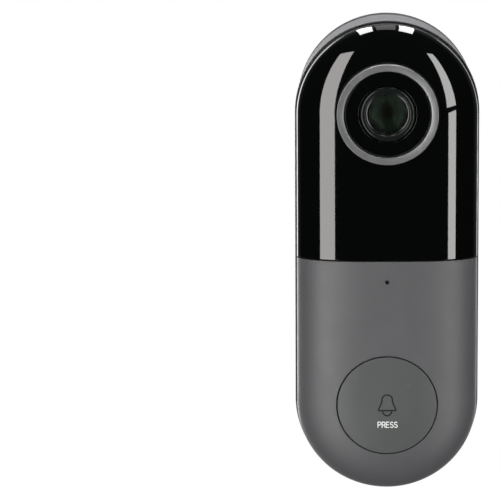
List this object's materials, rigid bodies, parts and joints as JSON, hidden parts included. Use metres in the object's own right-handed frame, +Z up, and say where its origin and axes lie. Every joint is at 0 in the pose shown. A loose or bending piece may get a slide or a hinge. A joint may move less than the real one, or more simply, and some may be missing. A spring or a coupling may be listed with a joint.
{
  "type": "video doorbell",
  "caption": "Slim upright doorbell with round ends, a glossy black camera panel over a matte grey cover with a large round push button, hung on a wall bracket.",
  "frame": {"origin": "centre of the wall bracket's back face, on the wall", "axes": "+Z up along the length of the doorbell, the front faces -Y, +X to the right seen from the front"},
  "size_m": [0.045, 0.0267, 0.1168],
  "materials": {
    "case_grey": "fine matte moulded grey plastic",
    "panel_black": "high gloss black, mirror-like",
    "bracket_black": "matte moulded black plastic",
    "trim_silver": "satin silver-grey",
    "lens_glass": "coated camera glass with a faint green tint",
    "black_plastic": "matte black moulded plastic",
    "seal_rubber": "soft matte rubber",
    "screw_steel": "zinc-plated steel",
    "board_green": "glass-fibre board with green solder mask",
    "chip_black": "moulded chip package",
    "shield_steel": "thin tinned steel",
    "coil_copper": "enamelled copper wire",
    "flex_amber": "amber polyimide film",
    "cell_foil": "laminated aluminium pouch",
    "foam_black": "closed-cell foam",
    "white_plastic": "white moulded plastic",
    "filter_glass": "coated optical glass",
    "led_clear": "clear epoxy lens"
  },
  "bodies": {
    "bracket": {"wall_bracket": "bracket_black"},
    "unit": {"rear_housing": "case_grey", "case_seal": "seal_rubber", "mid_frame": "black_plastic", "front_panel": "panel_black", "front_cover": "case_grey", "security_screw": "screw_steel", "case_screw_1": "screw_steel", "case_screw_2": "screw_steel", "case_screw_3": "screw_steel", "case_screw_4": "screw_steel", "board_screw_1": "screw_steel", "board_screw_2": "screw_steel", "camera_trim": "trim_silver", "lens_cover": "panel_black", "lens_retainer": "black_plastic", "lens_front_glass": "lens_glass", "lens_aperture": "black_plastic", "lens_rear_glass": "lens_glass", "lens_barrel": "black_plastic", "lens_holder": "black_plastic", "ir_cut_coil": "coil_copper", "image_sensor": "chip_black", "camera_board": "board_green", "ir_board": "board_green", "light_sensor": "chip_black", "ir_led_1": "led_clear", "ir_led_2": "led_clear", "ir_led_3": "led_clear", "ir_led_4": "led_clear", "ir_led_5": "led_clear", "ir_led_6": "led_clear", "camera_screw_1": "screw_steel", "camera_screw_2": "screw_steel", "camera_flex": "flex_amber", "main_board": "board_green", "processor_chip": "chip_black", "processor_shield": "shield_steel", "wifi_module": "shield_steel", "antenna": "flex_amber", "microphone": "shield_steel", "microphone_boot": "seal_rubber", "speaker": "black_plastic", "speaker_gasket": "foam_black", "battery_pack": "cell_foil", "battery_pad": "foam_black", "battery_lead": "seal_rubber", "charging_board": "board_green", "usb_socket": "shield_steel", "button_seal": "seal_rubber", "button_switch": "black_plastic", "button_led": "led_clear", "reset_switch": "black_plastic"},
    "button": {"button_cap": "case_grey"},
    "plunger": {"switch_plunger": "white_plastic"},
    "flap": {"usb_flap": "seal_rubber"},
    "reset": {"reset_key": "white_plastic"},
    "filters": {"ir_cut_carrier": "black_plastic", "ir_cut_filter": "filter_glass", "clear_filter": "filter_glass"}
  },
  "joints": [
    {"name": "unit_lift", "type": "slide", "parent": "bracket", "child": "unit", "axis": [0, 0, 1], "range_m": [0, 0.0045]},
    {"name": "button_press", "type": "slide", "parent": "unit", "child": "button", "axis": [0, 1, 0], "range_m": [0, 0.0005], "stiffness_N_per_m": 3000},
    {"name": "plunger_press", "type": "slide", "parent": "unit", "child": "plunger", "axis": [0, 1, 0], "range_m": [0, 0.0005]},
    {"name": "flap_hinge", "type": "hinge", "parent": "unit", "child": "flap", "pos_m": [0, -0.0096, -0.058], "axis": [1, 0, 0], "range_deg": [0, 100]},
    {"name": "reset_press", "type": "slide", "parent": "unit", "child": "reset", "axis": [0, 0, 1], "range_m": [0, 0.0005], "stiffness_N_per_m": 1500},
    {"name": "filter_slide", "type": "slide", "parent": "unit", "child": "filters", "axis": [-1, 0, 0], "range_m": [0, 0.0056]}
  ],
  "couplings": [
    {"joint": "plunger_press", "follows": "button_press", "ratio": 1}
  ]
}
